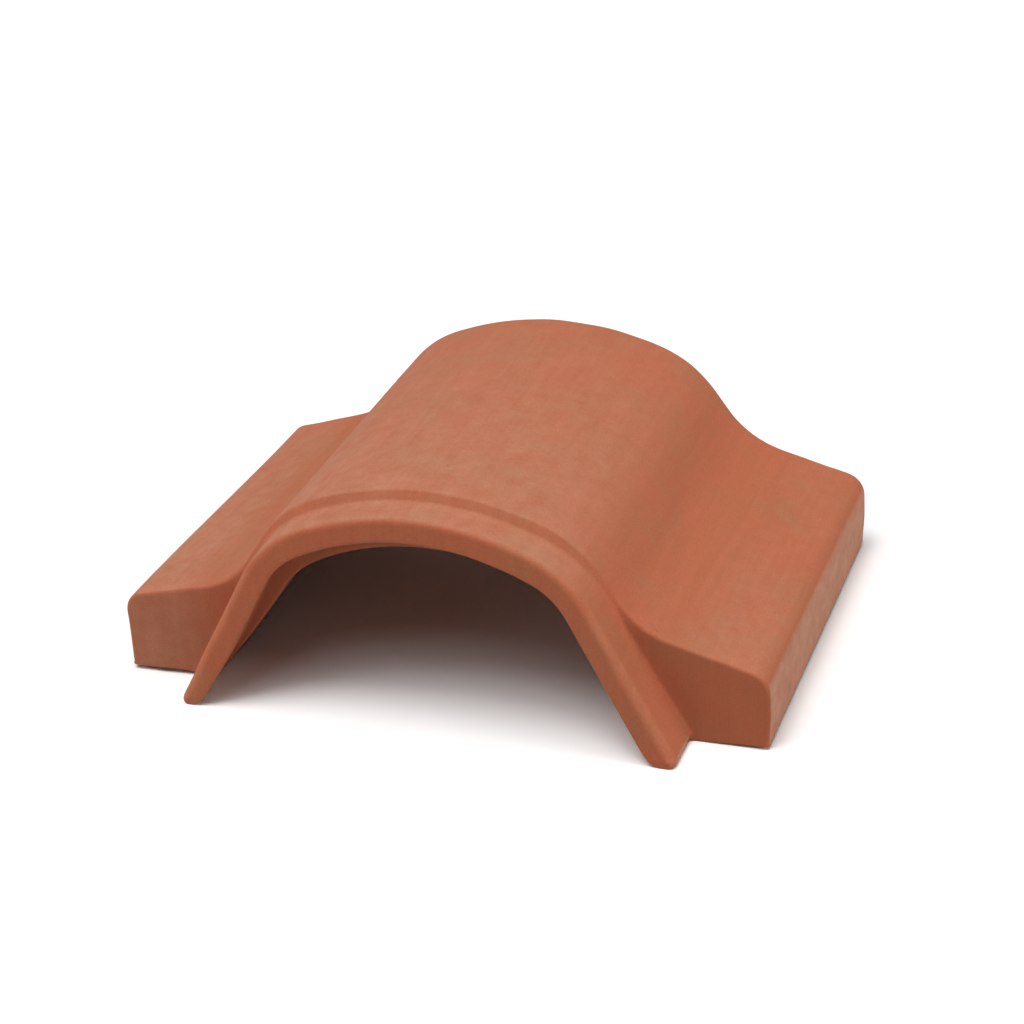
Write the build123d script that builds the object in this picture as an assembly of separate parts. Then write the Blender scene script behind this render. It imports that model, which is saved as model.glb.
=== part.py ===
from build123d import *

import math
import os

# Ridge tile of solid fired clay: a barrel arch that runs out through an ogee into two thick side
# wings, with a stepped-down spigot at its front end and a matching rebate inside its far end.
# It stands on the feet of its barrel, and the wings' soles are a little higher.
# Millimetres, +Z up. X runs across the tile and Y along the ridge.
# The origin is on the floor, midway across the tile and midway along its overall length.
# The spigot stands out of the body's front face towards -Y.

# Overall sizes
tile_width = 323
tile_height = 114
body_length = 200
sole_height = 2

# Outer section of the barrel and the wings
crown_radius = 150
shoulder_radius = 62
flank_angle = 56
flank_half_width = 93.5
flank_level = 66
valley_radius = 47
wing_edge_height = 38
wing_slope = 16
wing_corner_radius = 10
least_flat_flank = 2
body_arris_radius = 1.5

# Spigot: the collar that stands out of the front face, its reach taken at the foot.
# It steps in from the barrel at the crown and at the flank, and its legs are steeper than the flank.
spigot_reach = 25.5
spigot_face_lean = 5.5
spigot_crown_step = 5.4
spigot_flank_step = 5
spigot_leg_steepening = 5
spigot_wall = 12.5
spigot_shoulder_radius = 62
spigot_arris_radius = 3.5
bore_shoulder_radius = 36
outer_toe_radius = 3
inner_toe_radius = 3

# Tunnel under the body, lower than the spigot's bore by a shoulder that dies out at the feet,
# because its legs start where the bore's do and splay more
tunnel_shoulder_depth = 10.5
tunnel_shoulder_radius = 25
tunnel_leg_splay = 7

# Rebate inside the far end, where the next tile's spigot goes in
joint_side_clearance = 1
joint_end_clearance = 2

# How far a cutter runs past the face that it opens
cutter_overrun = 1


def arch_face(height, top_radius, corner_radius, foot_half_width, leg_angle):
    """Section under an arch, X across and Y up: a crown arc, two round shoulders, two straight legs."""
    leg_run = height / math.tan(math.radians(leg_angle))
    with BuildSketch() as arch:
        with Locations((0, height - top_radius)):
            Circle(top_radius)
        # The crown's circle bounds the upper half alone, so that it never clips the feet
        Rectangle(2 * foot_half_width, height)
        Polygon(
            (-foot_half_width, 0),
            (foot_half_width, 0),
            (foot_half_width - leg_run, height),
            (-foot_half_width + leg_run, height),
            align=None,
            mode=Mode.INTERSECT,
        )
        feet = arch.vertices().group_by(Axis.Y)[0]
        fillet(arch.vertices() - feet, corner_radius)
    return arch.face()


def outer_face():
    """Outer section of the body above the soles: barrel arch, ogee, sloping wing tops, upright sides."""
    half_width = tile_width / 2
    flank_slope = math.tan(math.radians(flank_angle))
    wing_fall = math.tan(math.radians(wing_slope))
    # The flank's line and the wing top's line meet at the valley
    flank_at_middle = flank_level + flank_slope * flank_half_width
    wing_at_middle = wing_edge_height + wing_fall * half_width
    valley_x = (flank_at_middle - wing_at_middle) / (flank_slope - wing_fall)
    valley_y = wing_at_middle - wing_fall * valley_x
    barrel = arch_face(tile_height, crown_radius, shoulder_radius, flank_at_middle / flank_slope, flank_angle)
    # The flank's straight part ends at the shoulder's arc, which leaves the valley's arc this much of it
    shoulder_foot_y = barrel.vertices().group_by(Axis.Y)[1][0].Y
    valley_run = (shoulder_foot_y - valley_y) / math.sin(math.radians(flank_angle)) - least_flat_flank
    widest_valley_radius = valley_run / math.tan(math.radians(flank_angle - wing_slope) / 2)
    with BuildSketch() as section:
        add(barrel)
        for side in (-1, 1):
            Polygon(
                (0, 0),
                (side * half_width, 0),
                (side * half_width, wing_edge_height),
                (side * valley_x, valley_y),
                (0, valley_y),
                align=None,
            )
        # The upright sides cut off a flank that would reach past them, and the soles what is below
        with Locations((0, sole_height)):
            Rectangle(tile_width, tile_height, align=(Align.CENTER, Align.MIN), mode=Mode.INTERSECT)
        # Lowest first, the section's corners are those of the soles, the wing tops and the valleys
        fillet(section.vertices().group_by(Axis.Y)[2], min(valley_radius, widest_valley_radius))
        fillet(section.vertices().group_by(Axis.Y)[1], wing_corner_radius)
    return section.face()


def along_y(face, start, end):
    """Prism of a section drawn X across and Y up, from one place along the ridge to another."""
    return extrude(Plane.XZ.offset(-start) * face, amount=start - end)


# Places along the ridge
front_face_y = (spigot_reach - body_length) / 2
far_face_y = front_face_y + body_length
spigot_end_y = front_face_y - spigot_reach
rebate_floor_y = far_face_y - spigot_reach - joint_end_clearance

# Sections that follow from the sizes above
spigot_leg_angle = flank_angle + spigot_leg_steepening
leg_sine = math.sin(math.radians(spigot_leg_angle))
leg_slope = math.tan(math.radians(spigot_leg_angle))
spigot_height = tile_height - spigot_crown_step
spigot_crown_radius = crown_radius - spigot_crown_step
spigot_foot_half_width = flank_half_width - spigot_flank_step + flank_level / leg_slope
barrel_foot_half_width = spigot_foot_half_width - sole_height / leg_slope
bore_height = spigot_height - spigot_wall
bore_crown_radius = spigot_crown_radius - spigot_wall
bore_foot_half_width = spigot_foot_half_width - spigot_wall / leg_sine

spigot_face = arch_face(
    spigot_height,
    spigot_crown_radius,
    spigot_shoulder_radius,
    spigot_foot_half_width,
    spigot_leg_angle,
)
bore_face = arch_face(
    bore_height,
    bore_crown_radius,
    bore_shoulder_radius,
    bore_foot_half_width,
    spigot_leg_angle,
)
tunnel_face = arch_face(
    bore_height - tunnel_shoulder_depth,
    bore_crown_radius - tunnel_shoulder_depth,
    tunnel_shoulder_radius,
    bore_foot_half_width,
    spigot_leg_angle - tunnel_leg_splay,
)
rebate_face = arch_face(
    spigot_height + joint_side_clearance,
    spigot_crown_radius + joint_side_clearance,
    spigot_shoulder_radius + joint_side_clearance,
    spigot_foot_half_width + joint_side_clearance / leg_sine,
    spigot_leg_angle,
)

# Body with softened end arrises, open underneath and rebated at its far end.
# Its feet have upright sides, straight down from where the spigot's legs pass the soles' level.
with BuildSketch() as footed_body:
    add(outer_face())
    with Locations((0, sole_height / 2)):
        Rectangle(2 * barrel_foot_half_width, sole_height)
body = along_y(footed_body.face(), front_face_y, far_face_y)
end_edges = body.faces().filter_by(Axis.Y).edges()
end_arrises = end_edges.filter_by_position(Axis.Z, sole_height + body_arris_radius, tile_height)
body = fillet(end_arrises, body_arris_radius)
body -= along_y(tunnel_face, front_face_y - cutter_overrun, far_face_y + cutter_overrun)
body -= along_y(rebate_face, rebate_floor_y, far_face_y + cutter_overrun)

# Spigot, its end face leaning back towards the crown and its toes rounded
with BuildSketch() as toed_spigot:
    add(spigot_face)
    fillet(toed_spigot.vertices().group_by(Axis.Y)[0], outer_toe_radius)
spigot = along_y(toed_spigot.face(), spigot_end_y - cutter_overrun, front_face_y)
leaning_plane = Plane.XZ.offset(-spigot_end_y).rotated((-spigot_face_lean, 0, 0))
spigot = split(spigot, bisect_by=leaning_plane, keep=Keep.BOTTOM)
spigot = fillet(spigot.faces().sort_by(Axis.Y)[0].edges(), spigot_arris_radius)
spigot -= along_y(bore_face, spigot_end_y - cutter_overrun, front_face_y + cutter_overrun)
foot_edges = spigot.edges().filter_by(Axis.Y).group_by(Axis.Z)[0]
inner_foot_edges = foot_edges.sort_by(lambda edge: abs(edge.center().X))[:2]
spigot = fillet(inner_foot_edges, inner_toe_radius)

ridge_tile = body + spigot

os.makedirs("parts", exist_ok=True)
export_step(ridge_tile, "parts/ridge_tile.step")
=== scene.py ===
"""Ridge tile in unglazed fired clay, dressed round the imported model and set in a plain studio."""

import logging
import math
from dataclasses import dataclass, field, replace
from enum import Enum

import bpy
import numpy as np
from mathutils import Matrix, Vector


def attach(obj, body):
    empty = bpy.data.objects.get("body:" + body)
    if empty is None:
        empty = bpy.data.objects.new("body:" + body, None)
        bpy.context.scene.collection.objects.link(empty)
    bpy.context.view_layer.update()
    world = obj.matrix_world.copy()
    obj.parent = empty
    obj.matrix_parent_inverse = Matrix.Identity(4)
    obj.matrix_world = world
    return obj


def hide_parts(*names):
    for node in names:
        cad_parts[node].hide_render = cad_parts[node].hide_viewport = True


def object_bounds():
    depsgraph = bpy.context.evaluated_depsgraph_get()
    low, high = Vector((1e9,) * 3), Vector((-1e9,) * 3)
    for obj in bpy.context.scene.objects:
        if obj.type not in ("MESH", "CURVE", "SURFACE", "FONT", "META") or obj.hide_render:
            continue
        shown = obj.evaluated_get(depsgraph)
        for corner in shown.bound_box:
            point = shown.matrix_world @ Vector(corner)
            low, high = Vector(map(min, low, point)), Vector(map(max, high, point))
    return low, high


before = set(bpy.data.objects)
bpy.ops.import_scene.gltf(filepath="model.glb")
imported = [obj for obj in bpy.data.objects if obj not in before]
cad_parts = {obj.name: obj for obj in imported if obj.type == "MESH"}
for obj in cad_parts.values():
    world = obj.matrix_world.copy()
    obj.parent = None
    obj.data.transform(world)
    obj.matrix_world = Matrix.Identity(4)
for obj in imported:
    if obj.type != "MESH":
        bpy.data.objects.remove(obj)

log = logging.getLogger("ridge_tile")

MM = 0.001
# Least length that anything is divided by
TINY = 1e-6
CAD_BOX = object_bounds()

Span = tuple[float, float]
Tree = bpy.types.NodeTree
Socket = bpy.types.NodeSocket


def linear(code: str) -> tuple[float, float, float, float]:
    """Turn an sRGB colour written in hex into linear red, green, blue and full alpha.

    Args:
        code: six hex digits after a hash, such as "#BC6645".

    Returns:
        The linear colour, with an alpha of 1.
    """
    channels = [int(code[i : i + 2], 16) / 255 for i in (1, 3, 5)]
    red, green, blue = (c / 12.92 if c <= 0.04045 else ((c + 0.055) / 1.055) ** 2.4 for c in channels)
    return red, green, blue, 1.0


def direction(azimuth: float, elevation: float) -> Vector:
    """Point from the tile towards a place round it.

    Args:
        azimuth: degrees from the front towards the right.
        elevation: degrees up from the floor.

    Returns:
        The direction, one long.
    """
    turn, rise = math.radians(azimuth), math.radians(elevation)
    return Vector((math.sin(turn) * math.cos(rise), -math.cos(turn) * math.cos(rise), math.sin(rise)))


def metres(span: Span) -> Span:
    """A span given in millimetres, in metres."""
    return span[0] * MM, span[1] * MM


def add_node(
    tree: Tree, kind: str, inputs: dict[str | int, object] | None = None, **settings: object
) -> bpy.types.Node:
    """Add one node with its settings, its socket values and its links.

    Args:
        tree: the node tree that gets the node.
        kind: the node's type name.
        inputs: for each input socket, a value or the output socket that feeds it.
        **settings: the node's own properties.

    Returns:
        The new node.
    """
    node = tree.nodes.new(kind)
    for name, value in settings.items():
        setattr(node, name, value)
    for name, value in (inputs or {}).items():
        if isinstance(value, Socket):
            tree.links.new(value, node.inputs[name])
        else:
            node.inputs[name].default_value = value
    return node


def maths(tree: Tree, operation: str, *values: Socket | float) -> Socket:
    """Add one step of arithmetic.

    Args:
        tree: the node tree that gets the step.
        operation: the step, as the math node names it.
        *values: the values or sockets that it works on.

    Returns:
        The result's socket.
    """
    return add_node(tree, "ShaderNodeMath", dict(enumerate(values)), operation=operation).outputs[0]


def remap(tree: Tree, value: Socket, span: Span, results: Span = (0.0, 1.0)) -> Socket:
    """Turn one range of values into another, without going past its ends.

    Args:
        tree: the node tree that gets the step.
        value: the values.
        span: the values that give the first and the second result.
        results: those two results.

    Returns:
        The result's socket.
    """
    ranges = {"From Min": span[0], "From Max": span[1], "To Min": results[0], "To Max": results[1]}
    return add_node(tree, "ShaderNodeMapRange", {"Value": value, **ranges}).outputs["Result"]


def noise(tree: Tree, place: Socket, size: float, detail: float, rough: float) -> Socket:
    """Add a cloudy pattern whose lumps are of a real size.

    Args:
        tree: the node tree that gets the pattern.
        place: the coordinates in metres.
        size: the lumps' size in millimetres.
        detail: how many finer layers it has.
        rough: how strong the finer layers are.

    Returns:
        The pattern's value socket.
    """
    settings = {"Vector": place, "Scale": 1 / (size * MM), "Detail": detail, "Roughness": rough}
    return add_node(tree, "ShaderNodeTexNoise", settings).outputs["Fac"]


def mix(tree: Tree, share: Socket, low: object, high: object) -> Socket:
    """Mix two colours.

    Args:
        tree: the node tree that gets the mix.
        share: how much of the second colour there is, from 0 to 1.
        low: the first colour, or the socket that gives it.
        high: the second colour, or the socket that gives it.

    Returns:
        The colour socket.
    """
    # The mix node has hidden sockets of the same names for its other kinds of data
    return add_node(tree, "ShaderNodeMix", {0: share, 6: low, 7: high}, data_type="RGBA").outputs[2]


class Grain:
    """Smooth random field in space, the same on each run."""

    cells = 32

    def __init__(self, seed: int) -> None:
        """Draw the field's random lattice.

        Args:
            seed: the lattice's seed.
        """
        self.lattice = np.random.default_rng(seed).uniform(-1, 1, (self.cells,) * 3)

    def at(self, points: np.ndarray, size: float) -> np.ndarray:
        """Read the field.

        Args:
            points: places in millimetres, one to a row.
            size: spacing of the field's humps in millimetres.

        Returns:
            A value from -1 to 1 for each place.
        """
        place = points / size
        cell = np.floor(place).astype(int)
        part = place - cell
        part = part * part * (3 - 2 * part)
        total = np.zeros(len(points))
        for corner in np.ndindex(2, 2, 2):
            share = np.prod(np.where(corner, part, 1 - part), axis=1)
            i, j, k = ((cell + corner) % self.cells).T
            total += share * self.lattice[i, j, k]
        return total


def smooth_step(value: np.ndarray, start: float, end: float) -> np.ndarray:
    """Ease from 0 at start to 1 at end.

    Args:
        value: the values to ease.
        start: where the result leaves 0.
        end: where the result reaches 1.

    Returns:
        The eased values.
    """
    share = np.clip((value - start) / (end - start), 0, 1)
    return share * share * (3 - 2 * share)


def line(start: np.ndarray, end: np.ndarray, step: float = 0.25) -> np.ndarray:
    """Points along a straight run in the plane of the section.

    Args:
        start: first point in millimetres.
        end: last point in millimetres.
        step: largest spacing.

    Returns:
        The points, one to a row, ends included.
    """
    count = max(2, int(np.linalg.norm(end - start) / step) + 2)
    return start + np.linspace(0, 1, count)[:, None] * (end - start)


def arc(centre: np.ndarray, start: np.ndarray, end: np.ndarray, step: float = 0.25) -> np.ndarray:
    """Points along the shorter arc between two places on a circle.

    Args:
        centre: the circle's centre in millimetres.
        start: first point, on the circle.
        end: last point, on the circle.
        step: largest spacing.

    Returns:
        The points, one to a row, ends included.
    """
    first, last = start - centre, end - centre
    radius = np.linalg.norm(first)
    begin = math.atan2(first[1], first[0])
    turn = (math.atan2(last[1], last[0]) - begin + math.pi) % (2 * math.pi) - math.pi
    count = max(3, int(abs(turn) * radius / step) + 2)
    angles = begin + np.linspace(0, 1, count) * turn
    return centre + radius * np.column_stack([np.cos(angles), np.sin(angles)])


def rounded_corner(before: np.ndarray, corner: np.ndarray, after: np.ndarray, radius: float) -> np.ndarray:
    """Round one corner of a section's outline.

    Args:
        before: a point on the run that comes in.
        corner: the sharp corner.
        after: a point on the run that goes out.
        radius: the rounding's radius in millimetres.

    Returns:
        The arc's points from the first run to the second.
    """
    back = (before - corner) / np.linalg.norm(before - corner)
    on = (after - corner) / np.linalg.norm(after - corner)
    half = math.acos(float(np.clip(back @ on, -1, 1))) / 2
    reach = radius / math.tan(half)
    middle = (back + on) / np.linalg.norm(back + on)
    return arc(corner + middle * radius / math.sin(half), corner + back * reach, corner + on * reach)


class Stretch(Enum):
    """Stretches of a half section, each cut into the same number of steps in every outline.

    On the body's outline LEG is flank, wing top and side, EDGE the side's lower edge and SOLE the
    wing's sole. On an arch those three are lengths of its leg.
    """

    CROWN = 64
    LEG = 84
    EDGE = 14
    SOLE = 8
    FOOT = 12


@dataclass
class Outline:
    """One arch of the section, as the run of points from its crown down to its right foot."""

    parts: dict[Stretch, np.ndarray]

    def stations(self) -> np.ndarray:
        """Points at the stations that all outlines share, from the left foot over the crown to the right.

        Returns:
            The points in millimetres, X across and Z up, one to a row.
        """
        half = [self.parts[Stretch.CROWN][:1]]
        for stretch in Stretch:
            points = self.parts[stretch]
            gone = np.concatenate([[0], np.cumsum(np.linalg.norm(np.diff(points, axis=0), axis=1))])
            places = np.linspace(0, gone[-1], stretch.value + 1)[1:]
            half.append(np.column_stack([np.interp(places, gone, points[:, i]) for i in (0, 1)]))
        right = np.concatenate(half)
        left = right[:0:-1] * (-1, 1)
        return np.concatenate([left, right])


@dataclass(frozen=True)
class Arch:
    """A crown arc, two rounded shoulders and two straight legs that end in rounded feet.

    Lengths are in millimetres and the leg's angle in degrees up from the floor. A toe that turns
    in is rounded towards the middle, as on a solid's outside, and otherwise away from it.
    """

    height: float
    crown_radius: float
    shoulder_radius: float
    foot_half_width: float
    leg_angle: float
    toe_radius: float = 1.0
    toe_turns_in: bool = True
    lower_stretch: float = 4.0

    def shoulder(self) -> tuple[np.ndarray, np.ndarray, np.ndarray]:
        """Find the shoulder's circle, which touches the crown's arc from inside and the leg.

        Returns:
            The circle's centre, where it meets the crown's arc and where it meets the leg.
        """
        angle = math.radians(self.leg_angle)
        outward = np.array([math.sin(angle), math.cos(angle)])
        down = np.array([math.cos(angle), -math.sin(angle)])
        crown_centre = np.array([0.0, self.height - self.crown_radius])
        foot = np.array([self.foot_half_width, 0.0])
        start = foot - outward * self.shoulder_radius - crown_centre
        along = start @ down
        gap = self.crown_radius - self.shoulder_radius
        centre = crown_centre + start - down * (along + math.sqrt(along**2 - start @ start + gap**2))
        towards = (centre - crown_centre) / np.linalg.norm(centre - crown_centre)
        return centre, crown_centre + towards * self.crown_radius, centre + outward * self.shoulder_radius

    def crown(self) -> np.ndarray:
        """Draw the crown's arc and the shoulder.

        Returns:
            The points from the top to where the leg starts, one to a row.
        """
        centre, crown_end, leg_top = self.shoulder()
        crown_centre = np.array([0.0, self.height - self.crown_radius])
        crown_arc = arc(crown_centre, np.array([0.0, self.height]), crown_end)
        return np.concatenate([crown_arc, arc(centre, crown_end, leg_top)[1:]])

    def outline(self) -> Outline:
        """Draw the arch.

        Returns:
            The half outline from the crown to the foot.
        """
        crown = self.crown()
        leg_top = crown[-1]
        foot = np.array([self.foot_half_width, 0.0])
        side = -1.0 if self.toe_turns_in else 1.0
        toe = rounded_corner(leg_top, foot, foot + np.array([side, 0.0]), self.toe_radius)
        up_the_leg = (leg_top - toe[0]) / np.linalg.norm(leg_top - toe[0]) * self.lower_stretch
        edge, sole = toe[0] + 2 * up_the_leg, toe[0] + up_the_leg
        return Outline(
            {
                Stretch.CROWN: crown,
                Stretch.LEG: line(leg_top, edge),
                Stretch.EDGE: line(edge, sole),
                Stretch.SOLE: line(sole, toe[0]),
                Stretch.FOOT: toe,
            }
        )


@dataclass(frozen=True)
class BodySection:
    """Outer section of the body: barrel arch, ogee, wing tops, upright sides, soles and feet.

    Lengths are in millimetres and angles in degrees. The half width is that without any lip.
    """

    half_width: float = 160.4
    height: float = 113.9
    crown_radius: float = 150.0
    shoulder_radius: float = 62.0
    flank_angle: float = 56.0
    flank_half_width: float = 93.5
    flank_level: float = 66.0
    valley_radius: float = 47.0
    wing_edge_height: float = 38.3
    wing_slope: float = 16.0
    wing_corner_radius: float = 12.0
    sole_height: float = 2.0
    sole_radius: float = 1.0
    foot_half_width: float = 127.0
    foot_root_radius: float = 1.4
    foot_radius: float = 0.5
    edge_stretch: float = 9.0
    root_stretch: float = 4.0

    def barrel(self) -> Arch:
        """The barrel's arch, its flanks run on to the floor."""
        foot = self.flank_half_width + self.flank_level / math.tan(math.radians(self.flank_angle))
        return Arch(self.height, self.crown_radius, self.shoulder_radius, foot, self.flank_angle)

    def outline(self) -> Outline:
        """Draw the section.

        Returns:
            The half outline from the crown down the side and in along the sole to the foot.
        """
        crown = self.barrel().crown()
        flank_top = crown[-1]
        slope = math.tan(math.radians(self.flank_angle))
        fall = math.tan(math.radians(self.wing_slope))
        flank_at_middle = self.flank_level + slope * self.flank_half_width
        wing_at_middle = self.wing_edge_height + fall * self.half_width
        valley_x = (flank_at_middle - wing_at_middle) / (slope - fall)
        valley = np.array([valley_x, wing_at_middle - fall * valley_x])
        wing_corner = np.array([self.half_width, self.wing_edge_height])
        sole_corner = np.array([self.half_width, self.sole_height])
        valley_arc = rounded_corner(flank_top, valley, wing_corner, self.valley_radius)
        corner_arc = rounded_corner(valley, wing_corner, sole_corner, self.wing_corner_radius)
        side_end = sole_corner + np.array([0.0, self.edge_stretch])
        foot = np.array([self.foot_half_width, 0.0])
        root = np.array([self.foot_half_width, self.sole_height])
        sole_arc = rounded_corner(wing_corner, sole_corner, root, self.sole_radius)
        root_arc = rounded_corner(sole_corner, root, foot, self.foot_root_radius)
        foot_arc = rounded_corner(root, foot, np.zeros(2), self.foot_radius)
        sole_end = root_arc[0] + np.array([self.root_stretch, 0.0])
        return Outline(
            {
                Stretch.CROWN: crown,
                Stretch.LEG: np.concatenate(
                    [
                        line(flank_top, valley_arc[0]),
                        valley_arc[1:],
                        line(valley_arc[-1], corner_arc[0])[1:],
                        corner_arc[1:],
                        line(corner_arc[-1], side_end)[1:],
                    ]
                ),
                Stretch.EDGE: np.concatenate([line(side_end, sole_arc[0]), sole_arc[1:]]),
                Stretch.SOLE: line(sole_arc[-1], sole_end),
                Stretch.FOOT: np.concatenate(
                    [
                        line(sole_end, root_arc[0]),
                        root_arc[1:],
                        line(root_arc[-1], foot_arc[0])[1:],
                        foot_arc[1:],
                    ]
                ),
            }
        )


class Heading(Enum):
    """Directions in which ramps are measured and points are moved.

    OFF_LEFT_LEG gives the place on the floor that lies down the left leg's slope.
    """

    ACROSS = (1.0, 0.0, 0.0)
    ALONG = (0.0, 1.0, 0.0)
    UP = (0.0, 0.0, 1.0)
    OFF_LEFT_LEG = (1.0, 0.0, -1 / 1.8)


@dataclass(frozen=True)
class Ramp:
    """A share that eases from 0 to 1 between two places on the tile.

    Attributes:
        heading: the direction in which the places are measured.
        start: the place up to which it is 0, in millimetres.
        full: the place from which it is 1.
    """

    heading: Heading
    start: float
    full: float

    def share(self, points: np.ndarray) -> np.ndarray:
        """The ramp's share at each of the points."""
        return smooth_step(points @ self.heading.value, self.start, self.full)


@dataclass(frozen=True)
class Shift:
    """One smooth displacement of the skin.

    Attributes:
        name: what it does to the tile.
        heading: the direction in which the points go.
        amount: how far they go where every ramp is full, in millimetres.
        ramps: what the shift fades in and out with.
    """

    name: str
    heading: Heading
    amount: float
    ramps: tuple[Ramp, ...]

    def at(self, points: np.ndarray) -> np.ndarray:
        """The displacement of each of the points, one to a row."""
        share = np.prod([ramp.share(points) for ramp in self.ramps], axis=0)
        return np.outer(self.amount * share, self.heading.value)


@dataclass(frozen=True)
class Wave:
    """Random waviness of the faces, with its seed, its height and its spacing in millimetres."""

    seed: int
    height: float
    spacing: float


TO_THE_FRONT = Ramp(Heading.ALONG, 112, -87)
TO_THE_FAR_END = Ramp(Heading.ALONG, -87, 112)
OVER_LEFT_WING = Ramp(Heading.ACROSS, -95, -160)
OVER_RIGHT_SIDE = Ramp(Heading.ACROSS, 140, 160)
WING_TOP = Ramp(Heading.UP, 2, 34)
LOW_DOWN = (Ramp(Heading.UP, 34, 2), Ramp(Heading.UP, 0, 2))


@dataclass(frozen=True)
class KilnWarp:
    """How the tile differs from its straight drawing, as pressing and firing left it.

    Wings, sides, soles and the left toe are a little out of true. The press left a thin ragged lip
    along the left side's lower edge, and every face is slightly wavy.
    """

    shifts: tuple[Shift, ...] = (
        Shift("left wing lifted at its front", Heading.UP, 2.6, (WING_TOP, OVER_LEFT_WING, TO_THE_FRONT)),
        Shift(
            "left wing dropped at its far end",
            Heading.UP,
            -2.0,
            (WING_TOP, Ramp(Heading.ACROSS, -84, -112), TO_THE_FAR_END),
        ),
        Shift(
            "left flank fuller towards the far end",
            Heading.ACROSS,
            -1.2,
            (Ramp(Heading.ACROSS, -35, -80), Ramp(Heading.UP, 35, 60), TO_THE_FAR_END),
        ),
        Shift("left side further out", Heading.ACROSS, -0.5, (OVER_LEFT_WING,)),
        Shift("right side further in at its foot", Heading.ACROSS, -0.5, (OVER_RIGHT_SIDE,)),
        Shift(
            "right side leaning out above it", Heading.ACROSS, 1.0, (OVER_RIGHT_SIDE, Ramp(Heading.UP, 2, 20))
        ),
        Shift("left sole lower", Heading.UP, -0.2, (*LOW_DOWN, Ramp(Heading.ACROSS, -124, -130))),
        Shift("right sole lower", Heading.UP, -1.9, (*LOW_DOWN, Ramp(Heading.ACROSS, 124, 130))),
        Shift(
            "right sole less low at the side", Heading.UP, 0.95, (*LOW_DOWN, Ramp(Heading.ACROSS, 130, 160))
        ),
        Shift(
            "left wing's front leaning out at its foot",
            Heading.ALONG,
            -0.8,
            (Ramp(Heading.ALONG, -60, -87), Ramp(Heading.ACROSS, -128, -145), Ramp(Heading.UP, 25, 2)),
        ),
        Shift(
            "left toe tucked in",
            Heading.ACROSS,
            0.6,
            (Ramp(Heading.ALONG, -86, -89), Ramp(Heading.ACROSS, -60, -100), Ramp(Heading.UP, 40, 8)),
        ),
        Shift(
            "left toe narrowed from inside",
            Heading.ACROSS,
            -2.6,
            (
                Ramp(Heading.OFF_LEFT_LEG, -119, -113),
                Ramp(Heading.ALONG, -40, -80),
                Ramp(Heading.ACROSS, -60, -90),
                Ramp(Heading.UP, 35, 0),
            ),
        ),
    )
    lip: Shift = Shift(
        "lip along the left side's lower edge",
        Heading.ACROSS,
        -0.8,
        (Ramp(Heading.ACROSS, -154, -160), Ramp(Heading.UP, 4.4, 2.4)),
    )
    lip_seed: int = 3
    lip_raggedness: float = 0.25
    lip_ripple: float = 11.0
    waves: tuple[Wave, ...] = (Wave(11, 0.12, 48), Wave(21, 0.06, 7))

    def bend(self, points: np.ndarray, low: np.ndarray, high: np.ndarray) -> np.ndarray:
        """Move the points of the straight tile to where the fired one has them.

        Args:
            points: places in millimetres, one to a row.
            low: the least corner of the box that the tile stays in.
            high: the greatest corner of that box.

        Returns:
            The moved places.
        """
        moved = points.copy()
        for shift in self.shifts:
            moved += shift.at(points)
            log.debug("warp: %s", shift.name)
        ragged = self.lip_raggedness * Grain(self.lip_seed).at(points, self.lip_ripple)
        moved += self.lip.at(points) * (1 - self.lip_raggedness + ragged)[:, None]
        for wave in self.waves:
            for axis in range(3):
                moved[:, axis] += wave.height * Grain(wave.seed + axis).at(points, wave.spacing)
        return np.clip(moved, low, high)


@dataclass(frozen=True)
class Run:
    """One straight run of the lengthwise profile and the rounding at its end.

    Attributes:
        outline: which outline the run ends on.
        place: which place along the ridge it ends at.
        steps: how many steps it is cut into.
        radius: the rounding's radius at the crown in millimetres.
        arc_steps: how many steps the rounding is cut into.
        leg_radius: the rounding's radius on the legs.
        uneven: how much of the radius comes and goes along the arris.
        edge_highlight_top: the height in millimetres up to which the rounding has a painted highlight, a
            paler colour standing in for light caught on the arris.
    """

    outline: str
    place: str
    steps: int
    radius: float
    arc_steps: int
    leg_radius: float
    uneven: float = 0.0
    edge_highlight_top: float = 0.0


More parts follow.
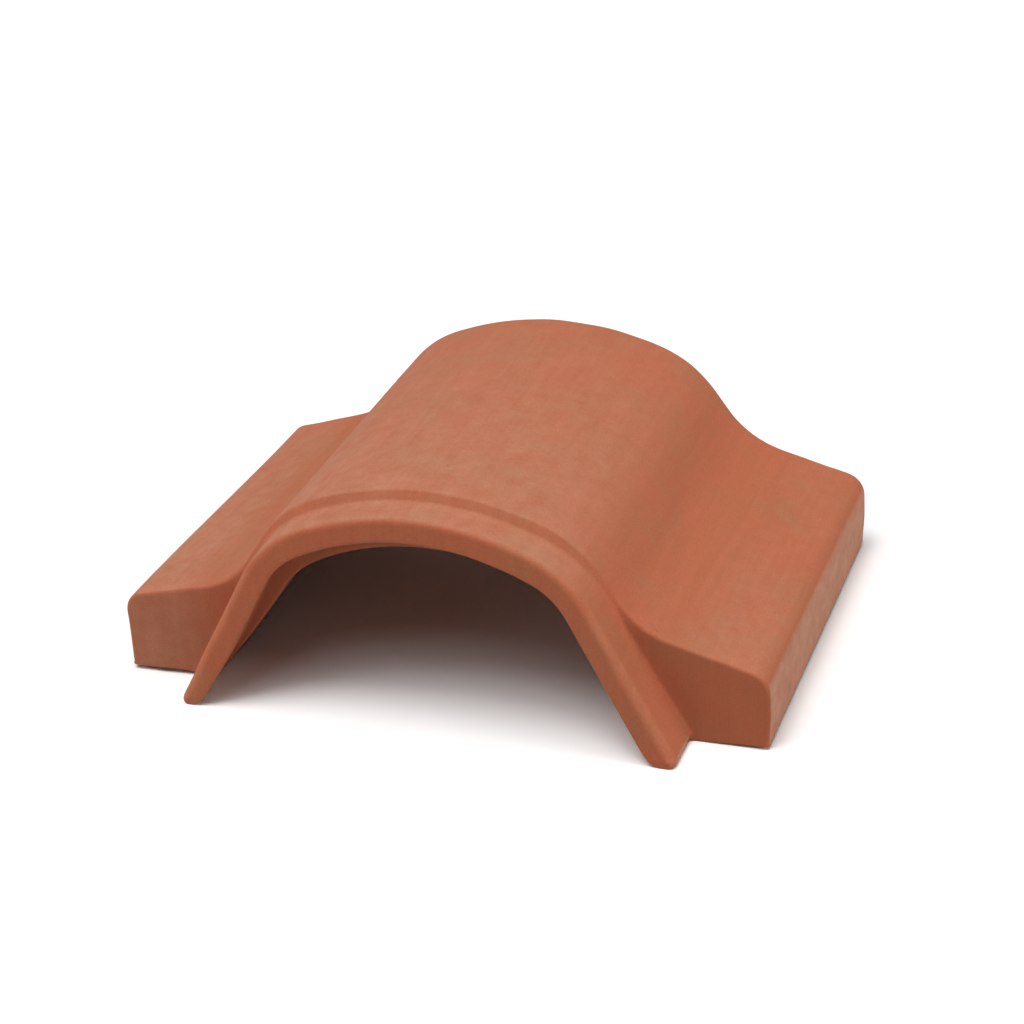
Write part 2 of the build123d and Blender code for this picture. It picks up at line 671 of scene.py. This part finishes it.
@dataclass
class TileShell:
    """The whole tile as one closed skin: nested arches swept along the ridge.

    At each station round the section the skin runs back along the outside, in through the far
    end, forward through rebate, tunnel and bore, and round the spigot to the front face.
    Lengths are in millimetres and angles in degrees.
    """

    body: BodySection = field(default_factory=BodySection)
    warp: KilnWarp = field(default_factory=KilnWarp)
    body_length: float = 200.0
    far_foot_half_width: float = 129.5
    spigot_reach: float = 25.5
    spigot_face_lean: float = 5.5
    spigot_crown_step: float = 5.4
    spigot_flank_step: float = 5.0
    step_slope: float = 4.0
    step_heights: Span = (52.0, 80.0)
    spigot_leg_angle: float = 61.0
    spigot_shoulder_radius: float = 62.0
    spigot_wall: float = 12.5
    bore_shoulder_radius: float = 36.0
    bore_flare: float = 3.4
    tunnel_flare: float = 9.0
    tunnel_shoulder_depth: float = 10.5
    tunnel_shoulder_radius: float = 50.0
    tunnel_leg_angle: float = 54.0
    side_clearance: float = 1.0
    end_clearance: float = 2.0
    outer_toe_radius: float = 3.0
    inner_toe_radius: float = 11.5
    toe_arris_share: float = 0.3
    toe_arris_height: float = 5.0
    leg_span: Span = (60.0, 105.0)
    arris_seed: int = 7
    arris_ripple: float = 14.0
    least_squareness: float = 0.05
    most_of_run: float = 0.45
    # Painted highlight on the arrises: how far below a run's top height it fades out
    edge_highlight_fade: float = 3.0
    runs: tuple[Run, ...] = (
        Run("face", "front", 12, 1.3, 6, 1.8, uneven=0.2, edge_highlight_top=7.0),
        Run("back", "far", 112, 1.5, 4, 1.5, uneven=0.3),
        Run("rebate", "far", 6, 0.6, 2, 0.6, uneven=0.3),
        Run("rebate", "rebate", 8, 0.8, 2, 0.8),
        Run("tunnel end", "rebate", 4, 0.8, 2, 0.8),
        Run("tunnel", "front", 36, 1.0, 3, 1.0),
        Run("bore", "front", 5, 1.0, 3, 1.0),
        Run("mouth", "end", 12, 1.2, 4, 1.0, uneven=0.3, edge_highlight_top=200.0),
        Run("spigot", "end", 8, 3.5, 7, 4.6, uneven=0.15, edge_highlight_top=75.0),
        Run("spigot", "front", 12, 1.6, 6, 2.4),
    )

    def outlines(self) -> dict[str, np.ndarray]:
        """Draw the nested outlines at the shared stations.

        Returns:
            The points of each outline in millimetres.
        """
        leg = math.radians(self.spigot_leg_angle)
        height = self.body.height - self.spigot_crown_step
        crown = self.body.crown_radius - self.spigot_crown_step
        foot = self.body.flank_half_width - self.spigot_flank_step + self.body.flank_level / math.tan(leg)
        bore_foot = foot - self.spigot_wall / math.sin(leg)
        wall, drop, gap = self.spigot_wall, self.tunnel_shoulder_depth, self.side_clearance
        mouth = Arch(
            height - wall,
            crown - wall,
            self.bore_shoulder_radius,
            bore_foot,
            self.spigot_leg_angle,
            self.inner_toe_radius,
            toe_turns_in=False,
        )
        tunnel = Arch(
            height - wall - drop,
            crown - wall - drop,
            self.tunnel_shoulder_radius,
            bore_foot + self.bore_flare,
            self.tunnel_leg_angle,
            toe_turns_in=False,
        )
        arches = {
            "spigot": Arch(
                height, crown, self.spigot_shoulder_radius, foot, self.spigot_leg_angle, self.outer_toe_radius
            ),
            "mouth": mouth,
            "bore": replace(mouth, foot_half_width=tunnel.foot_half_width, toe_radius=tunnel.toe_radius),
            "tunnel": tunnel,
            "tunnel end": replace(tunnel, foot_half_width=tunnel.foot_half_width + self.tunnel_flare),
            "rebate": Arch(
                height + gap,
                crown + gap,
                self.spigot_shoulder_radius + gap,
                foot + gap / math.sin(leg),
                self.spigot_leg_angle,
                toe_turns_in=False,
            ),
        }
        drawn = {name: arch.outline().stations() for name, arch in arches.items()}
        drawn["face"] = self.body.outline().stations()
        drawn["back"] = replace(self.body, foot_half_width=self.far_foot_half_width).outline().stations()
        return drawn

    def corners(self) -> list[np.ndarray]:
        """Sharp corners of the lengthwise profile at each station, one list entry for each run's end.

        Returns:
            The points in millimetres, one row to a station.
        """
        front = (self.spigot_reach - self.body_length) / 2
        far = front + self.body_length
        lean = math.tan(math.radians(self.spigot_face_lean))
        outlines = self.outlines()
        found = []
        for run in self.runs:
            x, z = outlines[run.outline].T
            places = {
                "front": np.full_like(x, front),
                "far": np.full_like(x, far),
                "rebate": np.full_like(x, far - self.spigot_reach - self.end_clearance),
                "end": front - self.spigot_reach + lean * z,
            }
            # High up, the step from the barrel down to the spigot slopes back
            sloped = self.step_slope * smooth_step(z, *self.step_heights) if run.outline == "face" else 0.0
            found.append(np.column_stack([x, places[run.place] + sloped, z]))
        return found

    def radius(self, run: Run, corner: np.ndarray) -> np.ndarray:
        """Find how round one arris is.

        Args:
            run: the run that ends on it.
            corner: its sharp corner at each station.

        Returns:
            The radius at each station in millimetres, in a column.
        """
        down_the_leg = smooth_step(abs(corner[:, :1]), *self.leg_span)
        radius = run.radius + (run.leg_radius - run.radius) * down_the_leg
        radius = radius * (1 + run.uneven * Grain(self.arris_seed).at(corner, self.arris_ripple)[:, None])
        if run.place == "end":
            off_the_floor = smooth_step(corner[:, 2:], 0, self.toe_arris_height)
            radius = radius * (self.toe_arris_share + (1 - self.toe_arris_share) * off_the_floor)
        return radius

    def skin(self) -> tuple[np.ndarray, np.ndarray]:
        """Lay out the skin's points.

        Returns:
            The points in millimetres as stations by profile steps by three, and how much painted highlight, a
            paler colour for light caught on the arris, each has.
        """
        corners = self.corners()
        count = len(corners)
        tangents = [np.gradient(corner, axis=0) for corner in corners]
        tangents = [t / np.linalg.norm(t, axis=1, keepdims=True).clip(TINY) for t in tangents]
        gaps = [corners[(i + 1) % count] - corners[i] for i in range(count)]
        lengths = [np.linalg.norm(gap, axis=1, keepdims=True) for gap in gaps]
        ways = [gap / length.clip(TINY) for gap, length in zip(gaps, lengths)]
        setbacks = []
        for i, run in enumerate(self.runs):
            radius = self.radius(run, corners[i])
            pair = []
            for way, length in ((ways[i - 1], lengths[i - 1]), (ways[i], lengths[i])):
                # A run that meets the arris at a slant starts its rounding further back
                squareness = 1 - (way * tangents[i]).sum(1, keepdims=True) ** 2
                setback = radius / np.sqrt(squareness.clip(self.least_squareness))
                pair.append(np.minimum(setback, self.most_of_run * length))
            setbacks.append(pair)
        rows, edge_highlights = [], []
        for i, run in enumerate(self.runs):
            before, after = setbacks[i]
            # Painted highlight: a paler band along the arris up to the run's height, strongest half way round
            # the rounding
            low = smooth_step(run.edge_highlight_top - corners[i][:, 2], 0, self.edge_highlight_fade)
            for step in range(run.arc_steps + 1):
                turn = step / run.arc_steps * math.pi / 2
                back = before * (1 - math.sin(turn))
                on = after * (1 - math.cos(turn))
                rows.append(corners[i] - ways[i - 1] * back + ways[i] * on)
                edge_highlights.append(low * math.sin(2 * turn))
            start = corners[i] + ways[i] * after
            end = corners[(i + 1) % count] - ways[i] * setbacks[(i + 1) % count][0]
            steps = self.runs[(i + 1) % count].steps
            for step in range(1, steps):
                rows.append(start + (end - start) * step / steps)
                edge_highlights.append(np.zeros(len(corners[i])))
        return np.stack(rows, axis=1), np.stack(edge_highlights, axis=1)

    def build(self) -> bpy.types.Object:
        """Make the tile's mesh.

        Returns:
            The tile, in metres, in the frame's own place.
        """
        points, edge_highlights = self.skin()
        stations, steps = points.shape[:2]
        low, high = (np.array(corner) / MM for corner in CAD_BOX)
        points = self.warp.bend(points.reshape(-1, 3), low, high)
        index = np.arange(stations * steps).reshape(stations, steps)
        ring = np.roll(index, -1, axis=1)
        quads = np.stack([index[:-1], index[1:], ring[1:], ring[:-1]], axis=-1).reshape(-1, 4)
        faces = quads.tolist() + [index[0].tolist(), index[-1, ::-1].tolist()]
        mesh = bpy.data.meshes.new("ridge_tile_clay")
        mesh.from_pydata((points * MM).tolist(), [], faces)
        mesh.shade_smooth()
        for foot in mesh.polygons[len(quads) :]:
            foot.use_smooth = False
        mesh.validate()
        # Painted highlight, kept on each point for the finish: paler colour for light caught on the arrises
        attribute = mesh.attributes.new("painted_edge_highlight", "FLOAT", "POINT")
        attribute.data.foreach_set("value", edge_highlights.reshape(-1).astype(np.float32))
        tile = bpy.data.objects.new("ridge_tile_clay", mesh)
        bpy.context.scene.collection.objects.link(tile)
        log.info("tile skin: %d points, %d faces", len(mesh.vertices), len(mesh.polygons))
        return tile


@dataclass(frozen=True)
class FiredClay:
    """Unglazed iron-rich clay, pressed in a mould and fired: matt, fine-grained and softly mottled.

    The eye gets a dry orange-brown body colour with pinker and browner clouds, faint drag marks
    from the press, a sandy grain and a few pin holes. What faces up is paled by dust and by a painted
    sheen, held back in the valleys, which keep a painted shade; both sides get a painted sheen, and
    the left wing's front is paler. The arrises carry a painted highlight, and the vault of the tunnel
    is darkened with painted shade.
    Sizes and places are in millimetres. A span says where an effect starts and where it is full.
    """

    name: str = "unglazed_fired_clay"
    body: str = "#AF6345"
    cloud: str = "#A86646"
    warm: str = "#B46144"
    # Painted highlight colour for the arrises
    edge_highlight: str = "#B97255"
    # Pale colour laid on both as dust and as a painted sheen
    dust: str = "#D0A58B"
    # Painted shade for the tunnel's vault
    vault_shade: str = "#74503F"
    powder_tint: str = "#F0C4AC"
    ior: float = 1.5
    reflection: float = 0.1
    roughness: float = 0.8
    powder: float = 0.15
    powder_roughness: float = 0.4
    cloud_size: float = 30.0
    cloud_span: Span = (0.36, 0.64)
    mottle_size: float = 9.0
    mottle_share: Span = (0.2, 1.0)
    pattern_span: Span = (0.3, 0.7)
    grain_size: float = 0.9
    grain_level: Span = (0.92, 1.08)
    grain_relief: float = 0.07
    drag_length: float = 60.0
    drag_width: float = 3.0
    drag_span: Span = (0.35, 0.65)
    drag_level: Span = (0.975, 1.025)
    hole_spacing: float = 9.0
    hole_span: Span = (0.06, 0.03)
    hole_level: float = 0.8
    hole_depth: float = 0.15
    # Paling on faces that look up, partly dust and partly a painted sheen, stronger towards the front left
    dust_way: tuple[float, float, float] = (0.6, 0.8, 0.0)
    dust_span: Span = (-110.0, 110.0)
    dust_share: Span = (0.26, 0.07)
    dust_patches: Span = (0.6, 1.4)
    top_facing: Span = (0.42, 0.85)
    # Painted shade: the paling is held back near the valleys, which stay darker
    valley: float = 104.0
    valley_span: Span = (10.0, 30.0)
    valley_share: float = 0.3
    # Painted sheen on the upright sides
    side_facing: Span = (0.9, 1.0)
    side_dust: float = 0.42
    # The left wing's front is made paler
    front_facing: Span = (-0.8, -1.0)
    front_span: Span = (-105.0, -135.0)
    front_dust: float = 0.16
    # Painted shade on the tunnel's vault: which faces, how deep in and how strong
    vault_facing: Span = (-0.2, -0.5)
    vault_span: Span = (-80.0, -50.0)
    vault_shade_share: float = 0.6

    def material(self) -> bpy.types.Material:
        """Build the finish.

        Returns:
            The node material.
        """
        made = bpy.data.materials.new(self.name)
        made.use_nodes = True
        tree = made.node_tree
        tree.nodes.clear()
        place = add_node(tree, "ShaderNodeTexCoord").outputs["Object"]
        mottle = noise(tree, place, self.mottle_size, detail=4, rough=0.6)
        grain = noise(tree, place, self.grain_size, detail=2, rough=0.6)
        holes = self.holes(tree, place)
        colour = self.dusted(tree, self.shade_vault(tree, self.clouds(tree, place, mottle)), mottle)
        # Painted highlight along the arrises, patchy with the mottle
        edge_highlight = add_node(tree, "ShaderNodeAttribute", attribute_name="painted_edge_highlight").outputs["Fac"]
        colour = mix(tree, maths(tree, "MULTIPLY", edge_highlight, mottle), colour, linear(self.edge_highlight))
        level = remap(tree, grain, self.pattern_span, self.grain_level)
        level = maths(tree, "MULTIPLY", level, self.drag_marks(tree, place))
        level = maths(tree, "MULTIPLY", level, remap(tree, holes, (0, 1), (1, self.hole_level)))
        colour = add_node(tree, "ShaderNodeHueSaturation", {"Color": colour, "Value": level}).outputs["Color"]
        relief = add_node(
            tree, "ShaderNodeBump", {"Height": grain, "Distance": self.grain_relief * MM}
        ).outputs["Normal"]
        relief = add_node(
            tree,
            "ShaderNodeBump",
            {"Height": holes, "Distance": self.hole_depth * MM, "Normal": relief},
            invert=True,
        ).outputs["Normal"]
        shader = add_node(
            tree,
            "ShaderNodeBsdfPrincipled",
            {
                "Base Color": colour,
                "Roughness": self.roughness,
                "IOR": self.ior,
                "Specular IOR Level": self.reflection,
                "Sheen Weight": self.powder,
                "Sheen Roughness": self.powder_roughness,
                "Sheen Tint": linear(self.powder_tint),
                "Normal": relief,
            },
        )
        add_node(tree, "ShaderNodeOutputMaterial", {"Surface": shader.outputs["BSDF"]})
        return made

    def clouds(self, tree: Tree, place: Socket, mottle: Socket) -> Socket:
        """Colour the clay body with its pinker and browner clouds.

        Args:
            tree: the material's nodes.
            place: the coordinates in metres.
            mottle: the smaller pattern that breaks the clouds up.

        Returns:
            The colour socket.
        """
        clouds = noise(tree, place, self.cloud_size, detail=3, rough=0.55)
        share = remap(tree, clouds, self.cloud_span)
        cloudy = mix(tree, share, linear(self.cloud), linear(self.warm))
        broken = remap(tree, mottle, self.pattern_span, self.mottle_share)
        return mix(tree, broken, linear(self.body), cloudy)

    @staticmethod
    def parts(tree: Tree, kind: str) -> dict[str, Socket]:
        """Split the surface's own coordinates into parts.

        Args:
            tree: the material's nodes.
            kind: Object for places in metres, or Normal for the way that the surface faces.

        Returns:
            The sockets for X, Y and Z.
        """
        vector = add_node(tree, "ShaderNodeTexCoord").outputs[kind]
        return {part.name: part for part in add_node(tree, "ShaderNodeSeparateXYZ", {0: vector}).outputs}

    def shade_vault(self, tree: Tree, colour: Socket) -> Socket:
        """Darken the vault of the tunnel with painted shade, where it faces down deep inside.

        Args:
            tree: the material's nodes.
            colour: the clay's colour.

        Returns:
            The colour socket.
        """
        # Painted shade: darker where the vault faces down, deeper inside the tunnel
        under = remap(tree, self.parts(tree, "Normal")["Z"], self.vault_facing, (0, self.vault_shade_share))
        deep = remap(tree, self.parts(tree, "Object")["Y"], metres(self.vault_span))
        return mix(tree, maths(tree, "MULTIPLY", under, deep), colour, linear(self.vault_shade))

    def dusted(self, tree: Tree, colour: Socket, mottle: Socket) -> Socket:
        """Pale what faces up with dust and a painted sheen, held back in the valleys as painted shade, paint
        a sheen on both sides and pale the left wing's front.

        Args:
            tree: the material's nodes.
            colour: the clay's colour.
            mottle: the pattern that the paling lies in.

        Returns:
            The colour socket.
        """
        facing = self.parts(tree, "Normal")
        across = self.parts(tree, "Object")["X"]
        place = add_node(tree, "ShaderNodeTexCoord").outputs["Object"]
        inward = add_node(
            tree, "ShaderNodeVectorMath", {0: place, 1: self.dust_way}, operation="DOT_PRODUCT"
        ).outputs["Value"]
        # Paling, partly dust and partly a painted sheen, stronger towards the front left and on faces that
        # look up
        amount = remap(tree, inward, metres(self.dust_span), self.dust_share)
        amount = maths(tree, "MULTIPLY", amount, remap(tree, facing["Z"], self.top_facing))
        # Painted shade: less paling near the valleys, so they stay darker
        off_valley = maths(tree, "SUBTRACT", maths(tree, "ABSOLUTE", across), self.valley * MM)
        off_valley = maths(tree, "ABSOLUTE", off_valley)
        valley_shade = remap(tree, off_valley, metres(self.valley_span), (self.valley_share, 1))
        amount = maths(tree, "MULTIPLY", amount, valley_shade)
        # Painted sheen: the upright sides are made paler, as light glancing off them would make them
        sideways = maths(tree, "ABSOLUTE", facing["X"])
        amount = maths(tree, "ADD", amount, remap(tree, sideways, self.side_facing, (0, self.side_dust)))
        # The left wing's front is made paler
        upright = remap(tree, facing["Y"], self.front_facing, (0, self.front_dust))
        at_left = remap(tree, across, metres(self.front_span))
        amount = maths(tree, "ADD", amount, maths(tree, "MULTIPLY", upright, at_left))
        patchy = remap(tree, mottle, self.pattern_span, self.dust_patches)
        return mix(tree, maths(tree, "MULTIPLY", amount, patchy), colour, linear(self.dust))

    def drag_marks(self, tree: Tree, place: Socket) -> Socket:
        """Add the faint marks that the press drew along the tile and down its faces.

        Args:
            tree: the material's nodes.
            place: the coordinates in metres.

        Returns:
            The socket of the colour's level, around 1.
        """
        narrow = (self.drag_length / self.drag_width, 1, 1)
        stretched = add_node(
            tree, "ShaderNodeVectorMath", {0: place, 1: narrow}, operation="MULTIPLY"
        ).outputs["Vector"]
        marks = noise(tree, stretched, self.drag_length, detail=2, rough=0.5)
        return remap(tree, marks, self.drag_span, self.drag_level)

    def holes(self, tree: Tree, place: Socket) -> Socket:
        """Add pin holes, each in the middle of a random cell.

        Args:
            tree: the material's nodes.
            place: the coordinates in metres.

        Returns:
            The pattern's value socket, 1 in a hole.
        """
        near = add_node(
            tree, "ShaderNodeTexVoronoi", {"Vector": place, "Scale": 1 / (self.hole_spacing * MM)}
        ).outputs["Distance"]
        return remap(tree, near, self.hole_span)


@dataclass(frozen=True)
class Lamp:
    """One soft studio lamp.

    Attributes:
        name: the lamp's name.
        azimuth: where it hangs, in degrees from the front towards the right.
        elevation: how high it hangs, in degrees.
        angle: how wide it looks from the tile, in degrees.
        share: what it gives a white floor, where 1 is paper white.
    """

    name: str
    azimuth: float
    elevation: float
    angle: float
    share: float

    def hang(self) -> None:
        """Add the lamp to the scene."""
        data = bpy.data.lights.new(self.name, "SUN")
        data.energy = self.share * math.pi / math.sin(math.radians(self.elevation))
        data.angle = math.radians(self.angle)
        lamp = bpy.data.objects.new(self.name, data)
        lamp.rotation_euler = direction(self.azimuth, self.elevation).to_track_quat("Z", "Y").to_euler()
        bpy.context.scene.collection.objects.link(lamp)
        log.info("lamp: %s", self.name)


@dataclass
class Studio:
    """White paper floor, soft lamps all round and a faint even surround.

    Attributes:
        floor_size: the floor's width in metres.
        floor_grey: how light the floor is to the lamps and to what it lights.
        seen_floor: how light the eye sees it, over 1 so that its lit parts come out white.
        surround: how bright the surround is as a light, where 1 is white.
        lamps: the lamps.
    """

    floor_size: float = 12.0
    floor_grey: float = 0.55
    seen_floor: float = 1.07
    surround: float = 0.05
    lamps: tuple[Lamp, ...] = (
        Lamp("top_lamp", 0, 85, 30, 0.39),
        Lamp("key_lamp", -45, 65, 30, 0.32),
        Lamp("front_lamp", 0, 60, 30, 0.13),
        Lamp("left_lamp", -90, 20, 30, 0.035),
        Lamp("right_lamp", 90, 20, 30, 0.13),
        Lamp("left_fill", -45, 12, 30, 0.016),
        Lamp("right_fill", 60, 12, 30, 0.008),
    )

    def floor(self) -> bpy.types.Object:
        """Lay the floor.

        Returns:
            The floor.
        """
        half = self.floor_size / 2
        corners = [(-half, -half, 0), (half, -half, 0), (half, half, 0), (-half, half, 0)]
        mesh = bpy.data.meshes.new("studio_floor")
        mesh.from_pydata(corners, [], [(0, 1, 2, 3)])
        floor = bpy.data.objects.new("studio_floor", mesh)
        bpy.context.scene.collection.objects.link(floor)
        material = bpy.data.materials.new("white_paper")
        material.use_nodes = True
        tree = material.node_tree
        tree.nodes.clear()
        grey = remap(tree, self.seen(tree), (0, 1), (self.floor_grey, self.seen_floor))
        paper = add_node(tree, "ShaderNodeBsdfDiffuse", {"Color": grey})
        add_node(tree, "ShaderNodeOutputMaterial", {"Surface": paper.outputs["BSDF"]})
        mesh.materials.append(material)
        log.info("floor: %.0f m wide", self.floor_size)
        return floor

    @staticmethod
    def seen(tree: Tree) -> Socket:
        """Add a switch that is 1 where the eye, a reflection or a look through glass meets the surface.

        Args:
            tree: the node tree that gets it.

        Returns:
            The switch's socket.
        """
        path = add_node(tree, "ShaderNodeLightPath").outputs
        level = path["Is Camera Ray"]
        for ray in ("Is Glossy Ray", "Is Transmission Ray"):
            level = maths(tree, "MAXIMUM", level, path[ray])
        return level

    def sky(self) -> None:
        """Fill the surround: white to the eye and in reflections, dimmer as a light."""
        world = bpy.data.worlds.new("pale_surround")
        world.use_nodes = True
        tree = world.node_tree
        tree.nodes.clear()
        level = remap(tree, self.seen(tree), (0, 1), (self.surround, 1))
        light = add_node(tree, "ShaderNodeBackground", {"Color": (1, 1, 1, 1), "Strength": level})
        add_node(tree, "ShaderNodeOutputWorld", {"Surface": light.outputs["Background"]})
        bpy.context.scene.world = world

    def build(self) -> None:
        """Set up floor, lamps and surround."""
        self.floor()
        for lamp in self.lamps:
            lamp.hang()
        self.sky()


@dataclass(frozen=True)
class ViewPoint:
    """The camera, at the place and angle from which the tile is seen.

    Attributes:
        azimuth: where it stands, in degrees from the front towards the right.
        elevation: how high it stands, in degrees.
        roll: how far it is turned about its own view, in degrees.
        distance: how far it is from what it looks at, in metres.
        target: what it looks at, in metres.
        focal_pixels: its focal length, in pixels of the picture.
        image_pixels: the picture's width in pixels.
        sensor_width: the sensor's width in millimetres.
        farthest: how far it sees, in metres.
    """

    azimuth: float = 21.46
    elevation: float = 27.63
    roll: float = -4.42
    distance: float = 1.250
    target: tuple[float, float, float] = (-0.0081, 0.0469, 0.0340)
    focal_pixels: float = 2440.5
    image_pixels: float = 1024.0
    sensor_width: float = 36.0
    farthest: float = 100.0

    def build(self) -> bpy.types.Object:
        """Place the camera.

        Returns:
            The camera, made the scene's own.
        """
        back = direction(self.azimuth, self.elevation)
        right = direction(self.azimuth + 90, 0)
        level = Matrix((right, back.cross(right), back)).transposed()
        data = bpy.data.cameras.new("view_point")
        data.sensor_width = self.sensor_width
        data.lens = self.focal_pixels / self.image_pixels * self.sensor_width
        data.clip_end = self.farthest
        camera = bpy.data.objects.new("view_point", data)
        turned = level @ Matrix.Rotation(math.radians(self.roll), 3, "Z")
        place = Vector(self.target) + back * self.distance
        camera.matrix_world = Matrix.Translation(place) @ turned.to_4x4()
        bpy.context.scene.collection.objects.link(camera)
        bpy.context.scene.camera = camera
        log.info("camera: %.1f mm lens, %.2f m away", data.lens, self.distance)
        return camera


def main() -> None:
    """Build the tile, its finish and the studio, in order."""
    logging.basicConfig(level=logging.INFO, format="%(name)s %(message)s")
    bpy.context.scene.view_settings.view_transform = "Standard"
    tile = TileShell().build()
    tile.data.materials.append(FiredClay().material())
    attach(tile, "root")
    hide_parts("ridge_tile")
    Studio().build()
    ViewPoint().build()


if __name__ == "__main__":
    main()
